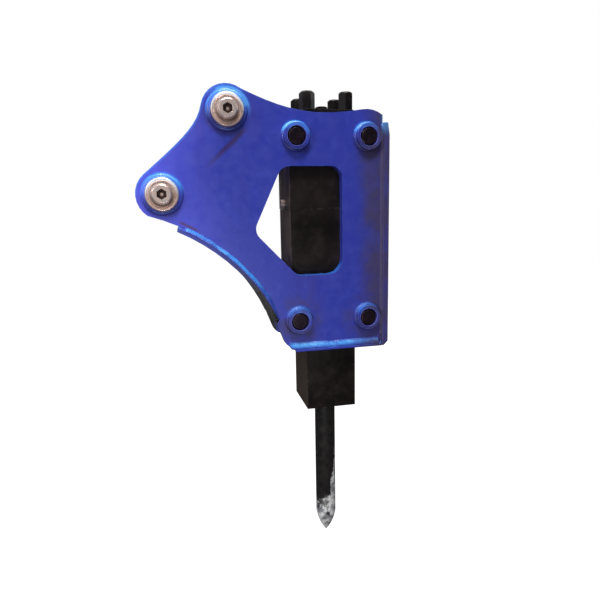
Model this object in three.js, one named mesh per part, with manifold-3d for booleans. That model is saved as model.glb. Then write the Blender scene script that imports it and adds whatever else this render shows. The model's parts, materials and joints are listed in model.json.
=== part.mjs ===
// Side-mounted hydraulic breaker hammer, in millimetres.
//
// The origin is the centre of the arm pin, midway between the two side plates. +Z is up along the
// tool, +X points from the excavator's arm towards the hammer, and Y runs across, along the pins.
// A welded bracket of two side plates, a wear plate, a front plate and a bottom plate clamps the
// square hammer body. Inside the body a piston strikes the chisel, steered by a spool valve.

import * as THREE from 'three';
import { mergeVertices } from 'three/addons/utils/BufferGeometryUtils.js';
import Module from 'manifold-3d';

const wasm = await Module();
wasm.setup();

// ---------------------------------------------------------------- driving dimensions

const GAP = 0.3; // between two pieces that touch
const OVERRUN = 2; // how far a cutting tool passes the surface that it cuts

// Bracket
const PLATE_INNER = 68.5; // distance of the side plates' inner faces from the middle plane
const PLATE_OUTER = 90.5;
const EAR_RADIUS = 56;
const LINK_PIN = { x: 146.5, z: 176.5 };
const ARM_PIN = { x: 0, z: 0 };
const PIN_RADIUS = 22.5;
const DOUBLER = { radius: 40, thickness: 8, chamfer: 2 };
const WEAR_ARC = { x: -159, z: -479, radius: 439.5, thickness: 12, halfWidth: 96 };
const FRONT = { left: 504.5, right: 519.8, top: 156, halfWidth: 98 };
const BOTTOM = { top: -362, underside: -374, halfWidth: 98, chamfer: 6 };
const WINDOW = { top: 59.5, bottom: -191, right: 406.4 };

// Side bolts: M24 hexagon bolts, each with its head and nut inside a welded ring collar
const TOOL_X = 382; // the hammer's axis, measured from the arm pin
const SIDE_BOLT = { spread: 84.5, upperZ: 123.5, lowerZ: -298, radius: 12, flats: 36 };
const SIDE_BOLT_HEAD = 15;
const SIDE_BOLT_NUT = 21.5;
const COLLAR = { inner: 21.8, outer: 29, height: 17 };

// Bucket pin fastening: M30 low-head socket screws through thick washers
const WASHER = { radius: 35.6, thickness: 9, chamfer: 1.2 };
const PIN_SCREW = { radius: 15, headRadius: 21, headHeight: 13, socketFlats: 20, socketDepth: 9 };
const PIN_SCREW_LENGTH = 46;

// Hammer body
const BODY_HALF_DEPTH = 68;
const BACK_HEAD = { halfWidth: 96, shoulder: 150, neck: 172, top: 187, bottom: -36.7 };
const CYLINDER = { halfWidth: 95, halfDepth: 67.5, top: -37, bottom: -225 };
const FRONT_HEAD = { halfWidth: 95, top: -225.3, shoulder: -352, bottom: -532 };
const NOSE_HALF_WIDTH = 62;
const TIE_ROD = { spread: 46.5, radius: 11, bottom: -308, top: 227.5, nutFlats: 32, nutHeight: 41.5 };
const GAS_CHAMBER = { radius: 32, top: 120 };

// Tool and striking gear
const CHISEL = { radius: 26.5, top: -284, taper: -856, tip: -914, travel: 50 };
const RETAINER = { radius: 11, spread: 31, z: -345, halfLength: 67.6 };
const BUSH = { bore: 27.1, upperRadius: 34, upperBottom: -330, frontRadius: 36, frontTop: -430 };
const DUST_SEAL = { bore: 26.9, thickness: 10 };
const PISTON = { stroke: 50, noseRadius: 22, landRadius: 26.6, tailRadius: 20 };
const SEAL_CARRIER = { radius: 34, height: 35 };
const CHAMBER_RADIUS = 27;
const LOWER_GUIDE_TOP = -180;
const VALVE = { x: 306, sleeveRadius: 14, spoolRadius: 8, waistRadius: 5.5, bottom: -205 };

// Ports and small fittings
const PORT = { y: 32, z: 88, boreRadius: 10.3, depth: 20, flats: 32 };
const GALLERY_RADIUS = 4;
const GAS_VALVE_Z = -24;
const GREASE_Z = -470;

// Chamfer of a hexagon's end: the flat crown's radius as a share of the width, and how steep it is
const HEX_CHAMFER = { crown: 0.47, slope: 0.58 };
const TALL_NUT_CHAMFER = { crown: 0.41, slope: 0.9 };

// ---------------------------------------------------------------- materials

const steel = (color, roughness, metalness) =>
  new THREE.MeshStandardMaterial({ color, roughness, metalness, flatShading: true });
const bluePaint = () => steel(0x3038b0, 0.35, 0.1);
const blackPaint = () => steel(0x1d1817, 0.55, 0.1);
const zincPlate = () => steel(0xc9b5a8, 0.35, 0.9);
const blackOxide = () => steel(0x201c1c, 0.5, 0.6);
const bareSteel = () => steel(0x8f9295, 0.3, 1.0);
const toolSteel = () => steel(0x2a2827, 0.5, 0.8);
const bronze = () => steel(0xa9783f, 0.35, 0.9);
const sealRubber = () => steel(0x161616, 0.8, 0.0);

// ---------------------------------------------------------------- closed solids and booleans

/** A closed indexed mesh with shared vertices, no slivers without area, and faces pointing out. */
function closed(geometry) {
  const bare = geometry.clone();
  bare.deleteAttribute('normal');
  bare.deleteAttribute('uv');
  const merged = mergeVertices(bare, 1e-4);
  const position = merged.attributes.position;
  const corners = [0, 1, 2].map(() => new THREE.Vector3());
  const kept = [];
  let volume = 0;
  for (let i = 0; i < merged.index.count; i += 3) {
    const [a, b, c] = [0, 1, 2].map((k) => merged.index.getX(i + k));
    if (a === b || b === c || c === a) continue;
    kept.push(a, b, c);
    corners[0].fromBufferAttribute(position, a);
    corners[1].fromBufferAttribute(position, b);
    corners[2].fromBufferAttribute(position, c);
    volume += corners[0].dot(corners[1].cross(corners[2]));
  }
  merged.setIndex(volume < 0 ? kept.reverse() : kept);
  return merged;
}

function toManifold(geometry) {
  const tidy = closed(geometry);
  const vertProperties = new Float32Array(tidy.attributes.position.array);
  const triVerts = new Uint32Array(tidy.index.array);
  return new wasm.Manifold(new wasm.Mesh({ numProp: 3, vertProperties, triVerts }));
}

function toGeometry(manifold) {
  const mesh = manifold.getMesh();
  const geometry = new THREE.BufferGeometry();
  geometry.setAttribute('position', new THREE.BufferAttribute(mesh.vertProperties, 3));
  geometry.setIndex(new THREE.BufferAttribute(mesh.triVerts, 1));
  return geometry;
}

function join(first, ...others) {
  return toGeometry(others.reduce((sum, next) => sum.add(toManifold(next)), toManifold(first)));
}

function cut(body, ...tools) {
  return toGeometry(tools.reduce((left, tool) => left.subtract(toManifold(tool)), toManifold(body)));
}

function common(first, second) {
  return toGeometry(toManifold(first).intersect(toManifold(second)));
}

// ---------------------------------------------------------------- outlines

const radians = THREE.MathUtils.degToRad;
const at = (x, z) => new THREE.Vector2(x, z);

/** Points on a circle from one angle to another, in degrees, anticlockwise when `to` is larger. */
function arc(centre, radius, from, to, step = 13) {
  const clockwise = to < from;
  const curve = new THREE.EllipseCurve(
    centre.x, centre.z, radius, radius, radians(from), radians(to), clockwise,
  );
  return curve.getPoints(Math.max(1, Math.round(Math.abs(to - from) / step)));
}

/** A whole circle as an outline. */
function circle(centre, radius, sides) {
  return arc(centre, radius, 0, 360, 360 / sides).slice(0, -1);
}

function bezier(start, startHandle, endHandle, end, steps) {
  return new THREE.CubicBezierCurve(start, startHandle, endHandle, end).getPoints(steps);
}

/** A polygon whose corners [x, z, radius] are rounded to their radius. */
function rounded(corners) {
  return corners.flatMap(([x, z, radius], i) => {
    const corner = at(x, z);
    if (!radius) return [corner];
    const [px, pz] = corners[(i + corners.length - 1) % corners.length];
    const [nx, nz] = corners[(i + 1) % corners.length];
    const back = at(px, pz).sub(corner).normalize();
    const ahead = at(nx, nz).sub(corner).normalize();
    const half = Math.acos(back.dot(ahead)) / 2;
    const reach = radius / Math.tan(half);
    const steps = Math.max(2, Math.round((Math.PI - 2 * half) / radians(15)));
    const middle = back.clone().add(ahead).normalize();
    const centre = corner.clone().addScaledVector(middle, radius / Math.sin(half));
    const first = corner.clone().addScaledVector(back, reach).sub(centre);
    const last = corner.clone().addScaledVector(ahead, reach).sub(centre);
    const turn = Math.atan2(first.cross(last), first.dot(last));
    const origin = at(0, 0);
    return Array.from({ length: steps + 1 }, (_, k) =>
      first.clone().rotateAround(origin, (turn * k) / steps).add(centre));
  });
}

/** Joins stretches of outline, dropping a point that repeats the one before it. */
function outline(...stretches) {
  const points = stretches.flat();
  return points.filter((p, i) => p.distanceTo(points[(i + points.length - 1) % points.length]) > 0.05);
}

// ---------------------------------------------------------------- basic shapes

/** A flat piece: an outline in X and Z, as thick as the stretch of Y. */
function slab(points, yMin, yMax, holes = []) {
  const shape = new THREE.Shape(points);
  shape.holes = holes.map((hole) => new THREE.Path(hole));
  const flat = new THREE.ExtrudeGeometry(shape, { depth: yMax - yMin, bevelEnabled: false });
  return closed(flat.rotateX(Math.PI / 2).translate(0, yMax, 0));
}

function block(xMin, xMax, yMin, yMax, zMin, zMax) {
  const box = new THREE.BoxGeometry(xMax - xMin, yMax - yMin, zMax - zMin);
  return box.translate((xMin + xMax) / 2, (yMin + yMax) / 2, (zMin + zMax) / 2);
}

/** A turned piece about its own Y axis: [radius, height] pairs that start and end on the axis. */
function turned(profile, sides = 24) {
  return closed(new THREE.LatheGeometry(profile.map(([r, h]) => at(r, h)), sides));
}

/** A turned ring: its profile closes on itself. */
function ring(profile, sides = 24) {
  return turned([...profile, profile[0]], sides);
}

/** A plain tube about its own Y axis, with a small chamfer on its upper outer edge. */
function tube(inner, outer, low, high, chamfer = 0, sides = 24) {
  if (!chamfer) return ring([[inner, low], [outer, low], [outer, high], [inner, high]], sides);
  return ring([
    [inner, low], [outer, low], [outer, high - chamfer], [outer - chamfer, high], [inner, high],
  ], sides);
}

/** A straight round cutting tool between two ends along one axis. */
function drill(axis, radius, from, to, centre, sides = 16) {
  const tool = new THREE.CylinderGeometry(radius, radius, Math.abs(to - from), sides);
  const middle = (from + to) / 2;
  if (axis === 'x') return tool.rotateZ(Math.PI / 2).translate(middle, centre[0], centre[1]);
  if (axis === 'y') return tool.translate(centre[0], middle, centre[1]);
  return tool.rotateX(Math.PI / 2).translate(centre[0], centre[1], middle);
}

/** A hexagonal prism about its own Y axis, with a conical chamfer round its upper end. */
function hexHead(flats, low, high, chamfer = HEX_CHAMFER) {
  const corner = flats / Math.sqrt(3);
  const prism = new THREE.CylinderGeometry(corner, corner, high - low, 6);
  const reach = corner + OVERRUN;
  const crown = flats * chamfer.crown;
  const envelope = turned([
    [0, low - OVERRUN], [reach, low - OVERRUN], [reach, high - (reach - crown) * chamfer.slope],
    [crown, high], [0, high],
  ]);
  return common(prism.translate(0, (low + high) / 2, 0), envelope);
}

// ---------------------------------------------------------------- placing

const breaker = new THREE.Group();

// How a piece's own Y axis lies in the object
const FAR = [0, 0, 0]; // outward is +Y
const NEAR = [0, 0, Math.PI]; // outward is -Y
const UP = [Math.PI / 2, 0, 0]; // outward is +Z
const TO_ARM = [0, 0, Math.PI / 2]; // outward is -X

function place(parent, name, geometry, material, position = [0, 0, 0], turn = FAR) {
  const mesh = new THREE.Mesh(geometry, material);
  mesh.name = name;
  mesh.position.set(...position);
  mesh.rotation.set(...turn);
  parent.add(mesh);
  return mesh;
}

function assembly() {
  const group = new THREE.Group();
  breaker.add(group);
  return group;
}

const SIDES = [
  { name: 'near', sign: -1, turn: NEAR },
  { name: 'far', sign: 1, turn: FAR },
];
const PINS = [
  { name: 'arm', ...ARM_PIN },
  { name: 'link', ...LINK_PIN },
];
const BOLTS = [
  { name: 'upper_rear', x: TOOL_X - SIDE_BOLT.spread, z: SIDE_BOLT.upperZ },
  { name: 'upper_front', x: TOOL_X + SIDE_BOLT.spread, z: SIDE_BOLT.upperZ },
  { name: 'lower_rear', x: TOOL_X - SIDE_BOLT.spread, z: SIDE_BOLT.lowerZ },
  { name: 'lower_front', x: TOOL_X + SIDE_BOLT.spread, z: SIDE_BOLT.lowerZ },
];
const ROD_CORNERS = [
  { name: 'near_rear', dx: -1, dy: -1, spin: 16 },
  { name: 'near_front', dx: 1, dy: -1, spin: 42 },
  { name: 'far_rear', dx: -1, dy: 1, spin: 25 },
  { name: 'far_front', dx: 1, dy: 1, spin: 38 },
];

// ---------------------------------------------------------------- bracket

const WEAR_START = 65; // degrees about the wear arc's centre
const WEAR_END = 22.5;
const RIM_END = 31.9; // where the side plates' edge leaves the wear plate's inner surface
const FLUSH = 21.9; // where it reaches the wear plate's outer surface

function onWearArc(radius, angle) {
  return at(
    WEAR_ARC.x + radius * Math.cos(radians(angle)),
    WEAR_ARC.z + radius * Math.sin(radians(angle)),
  );
}

/** The side plates' outline, anticlockwise from the top of the front edge. */
function sidePlateOutline() {
  const edge = WEAR_ARC.radius + WEAR_ARC.thickness + GAP;
  const bolt = BOLTS[1];
  const front = FRONT.left - GAP;
  const foot = BOTTOM.top + GAP;
  const flush = onWearArc(WEAR_ARC.radius, FLUSH);
  return outline(
    arc(bolt, 62, 52.5, 100),
    bezier(at(455.7, 184.6), at(347, 166.3), at(283, 175.2), at(178.2, 222.6), 11),
    arc(LINK_PIN, EAR_RADIUS, 55.5, 168),
    bezier(at(91.7, 188.1), at(82.3, 144.2), at(47.7, 114.4), at(-36, 42.9), 9),
    arc(ARM_PIN, EAR_RADIUS, 130, 234.5),
    arc(WEAR_ARC, edge, 73.7, RIM_END, 4.2),
    [flush],
    rounded([[flush.x, flush.y], [267, foot, 20], [front, foot, 3], [front, 0]]).slice(1, -1),
  );
}

/** The large opening in the side plates, beside and over the hammer body. */
function windowOutline() {
  return rounded([
    [264.4, WINDOW.top, 30],
    [196.5, -85.9, 28],
    [296.3, WINDOW.bottom, 25],
    [WINDOW.right, WINDOW.bottom, 36],
    [WINDOW.right, WINDOW.top, 27],
  ]);
}

function sidePlate(side) {
  const faces = [PLATE_INNER, PLATE_OUTER].map((y) => y * side.sign).sort((a, b) => a - b);
  const holes = [
    windowOutline(),
    ...PINS.map((pin) => circle(pin, PIN_RADIUS + GAP, 28)),
    ...BOLTS.map((bolt) => circle(bolt, SIDE_BOLT.radius + 0.6, 16)),
  ];
  const collars = BOLTS.map((bolt) => {
    const collar = tube(COLLAR.inner, COLLAR.outer, -1, COLLAR.height, 0, 24);
    return collar.rotateZ(side.turn[2]).translate(bolt.x, PLATE_OUTER * side.sign, bolt.z);
  });
  return join(slab(sidePlateOutline(), ...faces, holes), ...collars);
}

/** A disc welded round a pin bore, where the pin's washer bears. */
function doubler() {
  const { radius, thickness, chamfer } = DOUBLER;
  return ring([
    [PIN_RADIUS + GAP, 0], [radius, 0], [radius, thickness - chamfer],
    [radius - chamfer, thickness], [PIN_RADIUS + GAP, thickness],
  ], 28);
}

/** Curved plate: over the side plates' edges above, and between them at its lower end. */
function wearPlate() {
  const { radius, thickness, halfWidth } = WEAR_ARC;
  const inner = radius + thickness;
  const between = outline(
    arc(WEAR_ARC, radius, WEAR_START, WEAR_END, 4),
    arc(WEAR_ARC, inner, WEAR_END, WEAR_START, 4),
  );
  const rim = outline(
    arc(WEAR_ARC, radius, WEAR_START, WEAR_END + 1, 4),
    arc(WEAR_ARC, inner, RIM_END, WEAR_START, 4),
  );
  const inside = PLATE_INNER - GAP;
  return join(slab(between, -inside, inside), slab(rim, -halfWidth, halfWidth));
}

function frontPlate() {
  const { left, right, top, halfWidth } = FRONT;
  const points = [
    at(left, BOTTOM.underside), at(right - 11, BOTTOM.underside), at(right, BOTTOM.underside + 11),
    at(right, top - 28), at(right - 4.2, top), at(left, top),
  ];
  return slab(points, -halfWidth, halfWidth);
}

/** Cutting tools for the chamfers along the bottom plate's two upper long edges. */
function weldChamfers([from, to]) {
  const { top, halfWidth, chamfer } = BOTTOM;
  return [-1, 1].map((way) => {
    const triangle = [
      at(way * (halfWidth - chamfer), top), at(way * halfWidth, top - chamfer),
      at(way * (halfWidth + OVERRUN), top - chamfer), at(way * (halfWidth + OVERRUN), top + OVERRUN),
      at(way * (halfWidth - chamfer), top + OVERRUN),
    ];
    const prism = slab(triangle, from, to);
    return prism.rotateZ(-Math.PI / 2).scale(1, -1, 1);
  });
}

/** Plate under the bracket, with a square opening that the front head's nose passes through. */
function bottomPlate() {
  const { top, underside, halfWidth } = BOTTOM;
  const right = FRONT.left - GAP;
  const points = [at(277, top), at(289, underside), at(right, underside), at(right, top)];
  const reach = NOSE_HALF_WIDTH + 0.5;
  const opening = block(
    TOOL_X - reach, TOOL_X + reach, -PLATE_INNER, PLATE_INNER, underside - OVERRUN, top + OVERRUN,
  );
  const length = [points[0].x - OVERRUN, right + OVERRUN];
  return cut(slab(points, -halfWidth, halfWidth), opening, ...weldChamfers(length));
}

function addBracket() {
  const group = assembly();
  for (const side of SIDES) {
    place(group, `side_plate_${side.name}`, sidePlate(side), bluePaint());
    for (const pin of PINS) {
      const seat = [pin.x, side.sign * (PLATE_OUTER + GAP), pin.z];
      place(group, `${pin.name}_pin_doubler_${side.name}`, doubler(), bluePaint(), seat, side.turn);
    }
  }
  place(group, 'wear_plate', wearPlate(), bluePaint());
  place(group, 'front_plate', frontPlate(), bluePaint());
  place(group, 'bottom_plate', bottomPlate(), bluePaint());
}

// ---------------------------------------------------------------- bucket pins

/** A solid pin with a blind tapped hole in each end. */
function bucketPin() {
  const half = PLATE_OUTER + GAP + DOUBLER.thickness - 0.2;
  const hole = PIN_SCREW.radius + GAP;
  const depth = PIN_SCREW_LENGTH - 5;
  const chamfer = 1.5;
  return turned([
    [0, -half + depth], [hole, -half + depth], [hole, -half], [PIN_RADIUS - chamfer, -half],
    [PIN_RADIUS, -half + chamfer], [PIN_RADIUS, half - chamfer], [PIN_RADIUS - chamfer, half],
    [hole, half], [hole, half - depth], [0, half - depth],
  ]);
}

function pinWasher() {
  return tube(PIN_SCREW.radius + GAP, WASHER.radius, 0, WASHER.thickness, WASHER.chamfer, 28);
}

/** A low-head socket screw; its own origin is under the head. */
function pinScrew() {
  const { radius, headRadius, headHeight, socketFlats, socketDepth } = PIN_SCREW;
  const chamfer = 2;
  const body = turned([
    [0, -PIN_SCREW_LENGTH], [radius - chamfer, -PIN_SCREW_LENGTH], [radius, -PIN_SCREW_LENGTH + chamfer],
    [radius, 0], [headRadius, 0], [headRadius, headHeight - chamfer], [headRadius - chamfer, headHeight],
    [0, headHeight],
  ]);
  const corner = socketFlats / Math.sqrt(3);
  const socket = new THREE.CylinderGeometry(corner, corner, socketDepth + OVERRUN, 6);
  return cut(body, socket.translate(0, headHeight - socketDepth + (socketDepth + OVERRUN) / 2, 0));
}

function addBucketPins() {
  const group = assembly();
  const seat = PLATE_OUTER + GAP + DOUBLER.thickness + GAP;
  for (const pin of PINS) {
    place(group, `${pin.name}_pin`, bucketPin(), zincPlate(), [pin.x, 0, pin.z]);
    for (const side of SIDES) {
      const washerAt = [pin.x, side.sign * seat, pin.z];
      const screwAt = [pin.x, side.sign * (seat + WASHER.thickness + GAP), pin.z];
      place(group, `${pin.name}_pin_washer_${side.name}`, pinWasher(), zincPlate(), washerAt, side.turn);
      place(group, `${pin.name}_pin_screw_${side.name}`, pinScrew(), zincPlate(), screwAt, side.turn);
    }
  }
}

// ---------------------------------------------------------------- side bolts

/** A through-bolt; its own origin is under the head. */
function sideBolt() {
  const length = 2 * (PLATE_OUTER + GAP) + SIDE_BOLT_NUT + 5;
  const { radius, flats } = SIDE_BOLT;
  const shank = turned([
    [0, -length], [radius - 1.5, -length], [radius, -length + 1.5], [radius, 1], [0, 1],
  ], 16);
  return join(hexHead(flats, 0, SIDE_BOLT_HEAD), shank);
}

function nut(flats, height, boreRadius, chamfer) {
  const bore = drill('y', boreRadius, -OVERRUN, height + OVERRUN, [0, 0]);
  return cut(hexHead(flats, 0, height, chamfer), bore);
}

function addSideBolts() {
  const group = assembly();
  const seat = PLATE_OUTER + GAP;
  for (const bolt of BOLTS) {
    place(group, `side_bolt_${bolt.name}`, sideBolt(), blackOxide(), [bolt.x, -seat, bolt.z], NEAR);
    const bored = nut(SIDE_BOLT.flats, SIDE_BOLT_NUT, SIDE_BOLT.radius + GAP);
    place(group, `side_nut_${bolt.name}`, bored, blackOxide(), [bolt.x, seat, bolt.z]);
  }
}

// ---------------------------------------------------------------- hammer body

/** Half-round grooves down both flanks that the side bolts pass through and lock into. */
function boltGrooves(z) {
  const radius = SIDE_BOLT.radius + 0.6;
  const reach = BODY_HALF_DEPTH + OVERRUN;
  return [-1, 1].flatMap((way) => {
    const x = TOOL_X + way * SIDE_BOLT.spread;
    const mouth = TOOL_X + way * (BACK_HEAD.halfWidth + OVERRUN);
    return [
      drill('y', radius, -reach, reach, [x, z]),
      block(Math.min(x, mouth), Math.max(x, mouth), -reach, reach, z - radius, z + radius),
    ];
  });
}

function tieRodHoles(zMin, zMax) {
  return ROD_CORNERS.map(({ dx, dy }) => {
    const centre = [TOOL_X + dx * TIE_ROD.spread, dy * TIE_ROD.spread];
    return drill('z', TIE_ROD.radius + 0.5, zMin, zMax, centre);
  });
}

/** Upper casting: gas chamber, oil ports and the seats of the tie rod nuts. */
function backHead() {
  const { halfWidth, shoulder, neck, top, bottom } = BACK_HEAD;
  const left = TOOL_X - halfWidth;
  const right = TOOL_X + halfWidth;
  const neckLeft = TOOL_X - NOSE_HALF_WIDTH;
  const neckRight = TOOL_X + NOSE_HALF_WIDTH;
  const points = [
    at(left, bottom), at(right, bottom), at(right, shoulder), at(neckRight, neck),
    at(neckRight, top - 3), at(neckRight - 3, top), at(neckLeft + 3, top), at(neckLeft, top - 3),
    at(neckLeft, neck), at(left, shoulder),
  ];
  const axis = [TOOL_X, 0];
  const ports = [-1, 1].flatMap((way) => [
    drill('x', PORT.boreRadius, left - OVERRUN, left + PORT.depth, [way * PORT.y, PORT.z]),
    drill('z', GALLERY_RADIUS, bottom - OVERRUN, PORT.z, [VALVE.x, way * PORT.y], 12),
    drill('x', GALLERY_RADIUS, left, VALVE.x, [way * PORT.y, PORT.z], 12),
  ]);
  return cut(
    slab(points, -BODY_HALF_DEPTH, BODY_HALF_DEPTH),
    drill('z', GAS_CHAMBER.radius, bottom - OVERRUN, GAS_CHAMBER.top, axis, 24),
    drill('z', 10.3, GAS_CHAMBER.top - OVERRUN, top + OVERRUN, axis),
    drill('x', 6.3, left - OVERRUN, left + 20, [0, GAS_VALVE_Z], 16),
    drill('x', 3, left, TOOL_X - GAS_CHAMBER.radius + OVERRUN, [0, GAS_VALVE_Z], 12),
    ...ports,
    ...tieRodHoles(bottom - OVERRUN, top + OVERRUN),
    ...boltGrooves(SIDE_BOLT.upperZ),
  );
}

/** Middle block: piston chamber, seal carrier's seat and the valve bore. */
function cylinderBlock() {
  const { halfWidth, halfDepth, top, bottom } = CYLINDER;
  const axis = [TOOL_X, 0];
  const seat = top - SEAL_CARRIER.height - GAP;
  const galleries = [-1, 1].map((way) =>
    drill('z', GALLERY_RADIUS, top - 90, top + OVERRUN, [VALVE.x, way * PORT.y], 12));
  const body = block(TOOL_X - halfWidth, TOOL_X + halfWidth, -halfDepth, halfDepth, bottom, top);
  return cut(
    body,
    drill('z', PISTON.noseRadius + 0.4, bottom - OVERRUN, LOWER_GUIDE_TOP + 1, axis, 24),
    drill('z', CHAMBER_RADIUS, LOWER_GUIDE_TOP, seat + 1, axis, 24),
    drill('z', SEAL_CARRIER.radius + GAP, seat, top + OVERRUN, axis, 24),
    drill('z', VALVE.sleeveRadius + GAP, VALVE.bottom, top + OVERRUN, [VALVE.x, 0]),
    ...galleries,
    ...tieRodHoles(bottom - OVERRUN, top + OVERRUN),
  );
}

/** Lower casting: wide block inside the bracket, square nose below it round the tool. */
function frontHead() {
  const { halfWidth, top, shoulder, bottom } = FRONT_HEAD;
  const left = TOOL_X - halfWidth;
  const right = TOOL_X + halfWidth;
  const noseLeft = TOOL_X - NOSE_HALF_WIDTH;
  const noseRight = TOOL_X + NOSE_HALF_WIDTH;
  const points = [
    at(left, top), at(left, shoulder + 12), at(left + 12, shoulder), at(noseLeft, shoulder),
    at(noseLeft, bottom), at(noseRight, bottom), at(noseRight, shoulder),
    at(right - 12, shoulder), at(right, shoulder + 12), at(right, top),
  ];
  const axis = [TOOL_X, 0];
  const upperSeat = BUSH.upperBottom - GAP;
  const frontSeat = BUSH.frontTop + GAP;
  const reach = BODY_HALF_DEPTH + OVERRUN;
  const retainerBores = [-1, 1].map((way) =>
    drill('y', RETAINER.radius + 0.4, -reach, reach, [TOOL_X + way * RETAINER.spread, RETAINER.z]));
  return cut(
    slab(points, -BODY_HALF_DEPTH, BODY_HALF_DEPTH),
    drill('z', BUSH.upperRadius + GAP, upperSeat, top + OVERRUN, axis, 24),
    drill('z', CHISEL.radius + 1.2, frontSeat - 1, upperSeat + 1, axis, 24),
    drill('z', BUSH.frontRadius + GAP, bottom - OVERRUN, frontSeat, axis, 24),
    drill('y', 4.3, BUSH.frontRadius - 1, reach, [TOOL_X, GREASE_Z], 12),
    ...retainerBores,
    ...tieRodHoles(TIE_ROD.bottom - GAP, top + OVERRUN),
    ...boltGrooves(SIDE_BOLT.lowerZ),
  );
}

function tieRod() {
  const { radius, bottom, top } = TIE_ROD;
  const chamfer = 1.5;
  return turned([
    [0, bottom], [radius - chamfer, bottom], [radius, bottom + chamfer],
    [radius, top - chamfer], [radius - chamfer, top], [0, top],
  ], 16);
}

function addHammerBody() {
  const group = assembly();
  place(group, 'back_head', backHead(), blackPaint());
  place(group, 'cylinder_block', cylinderBlock(), blackPaint());
  place(group, 'front_head', frontHead(), blackPaint());
  for (const corner of ROD_CORNERS) {
    const x = TOOL_X + corner.dx * TIE_ROD.spread;
    const y = corner.dy * TIE_ROD.spread;
    place(group, `tie_rod_${corner.name}`, tieRod(), bareSteel(), [x, y, 0], UP);
    const turn = [Math.PI / 2, radians(corner.spin), 0];
    const { nutFlats, nutHeight, radius } = TIE_ROD;
    const tallNut = nut(nutFlats, nutHeight, radius + GAP, TALL_NUT_CHAMFER);
    place(group, `tie_rod_nut_${corner.name}`, tallNut, blackPaint(), [x, y, BACK_HEAD.top + GAP], turn);
  }
}

// ---------------------------------------------------------------- tool and striking gear

/** Round tool with a short convex point, and a flat notch on two sides for the retainer pins. */
function chisel() {
  const { radius, top, taper, tip, travel } = CHISEL;
  const point = bezier(at(2, tip + 0.8), at(12, tip + 14), at(22, tip + 32), at(radius, taper), 5);
  const body = turned([
    [0, tip], ...point.map((p) => [p.x, p.y]), [radius, top - 4], [radius - 4, top], [0, top],
  ]);
  const notchTop = RETAINER.z + RETAINER.radius + GAP;
  const notchBottom = RETAINER.z - RETAINER.radius - travel - 1;
  const depth = RETAINER.spread - RETAINER.radius - 0.6;
  const notches = [-1, 1].map((way) => {
    const [xMin, xMax] = [way * depth, way * (radius + OVERRUN)].sort((a, b) => a - b);
    return block(xMin, xMax, -radius - OVERRUN, radius + OVERRUN, notchBottom, notchTop);
  });
  return cut(body.rotateX(Math.PI / 2), ...notches);
}

/** Stepped piston: striking nose, sealing land and a tail that rises into the gas chamber. */
function piston() {
  const nose = CHISEL.top + CHISEL.travel + 1;
  const landBottom = LOWER_GUIDE_TOP + GAP;
  const landTop = CYLINDER.top - SEAL_CARRIER.height - PISTON.stroke - 4;
  const tailTop = landTop + PISTON.stroke + 104;
  const { noseRadius, landRadius, tailRadius } = PISTON;
  return turned([
    [0, nose], [noseRadius - 3, nose], [noseRadius, nose + 3], [noseRadius, landBottom],
    [landRadius, landBottom + 3], [landRadius, landTop - 3], [tailRadius, landTop],
    [tailRadius, tailTop - 3], [tailRadius - 3, tailTop], [0, tailTop],
  ]);
}

function retainerPin() {
  const { radius, halfLength } = RETAINER;
  return turned([
    [0, -halfLength], [radius - 2, -halfLength], [radius, 2 - halfLength],
    [radius, halfLength - 2], [radius - 2, halfLength], [0, halfLength],
  ], 16);
}

/** Carrier of the upper piston seal, with the seal's groove in its bore. */
function sealCarrier(top) {
  const bore = PISTON.tailRadius + 0.4;
  const low = top - SEAL_CARRIER.height;
  const groove = bore + 4;
  return ring([
    [bore, low], [SEAL_CARRIER.radius, low], [SEAL_CARRIER.radius, top], [bore, top],
    [bore, low + 22], [groove, low + 22], [groove, low + 14], [bore, low + 14],
  ]);
}

function pistonSeal(carrierTop) {
  const low = carrierTop - SEAL_CARRIER.height + 14 + GAP;
  const inner = PISTON.tailRadius + GAP;
  return tube(inner, inner + 3.7, low, low + 7.4);
}

function addStrikingGear() {
  const group = assembly();
  const axis = [TOOL_X, 0, 0];
  place(group, 'chisel', chisel(), toolSteel(), axis);
  place(group, 'piston', piston(), bareSteel(), axis, UP);
  for (const [name, way] of [['rear', -1], ['front', 1]]) {
    const position = [TOOL_X + way * RETAINER.spread, 0, RETAINER.z];
    place(group, `retainer_pin_${name}`, retainerPin(), bareSteel(), position);
  }
  const upperBush = tube(BUSH.bore, BUSH.upperRadius, BUSH.upperBottom, FRONT_HEAD.top - GAP);
  place(group, 'upper_tool_bush', upperBush, bronze(), axis, UP);
  const sealTop = FRONT_HEAD.bottom + DUST_SEAL.thickness + 1;
  const frontBush = tube(BUSH.bore, BUSH.frontRadius, sealTop + GAP, BUSH.frontTop);
  place(group, 'front_tool_bush', frontBush, bronze(), axis, UP);
  const wiper = tube(DUST_SEAL.bore, BUSH.frontRadius, FRONT_HEAD.bottom + 1, sealTop);
  place(group, 'dust_seal', wiper, sealRubber(), axis, UP);
  const carrierTop = CYLINDER.top - GAP;
  place(group, 'seal_carrier', sealCarrier(carrierTop), bareSteel(), axis, UP);
  place(group, 'piston_seal', pistonSeal(carrierTop), sealRubber(), axis, UP);
}

// ---------------------------------------------------------------- valve, ports and fittings

function valveSpool() {
  const { spoolRadius, waistRadius, bottom } = VALVE;
  const low = bottom + GAP;
  const lands = [[0, 22], [44, 66], [88, 110]];
  const profile = lands.flatMap(([from, to], i) => [
    [i ? waistRadius : 0, low + from],
    [spoolRadius, low + from],
    [spoolRadius, low + to],
    [i < lands.length - 1 ? waistRadius : 0, low + to],
  ]);
  return turned(profile, 16);
}

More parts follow.
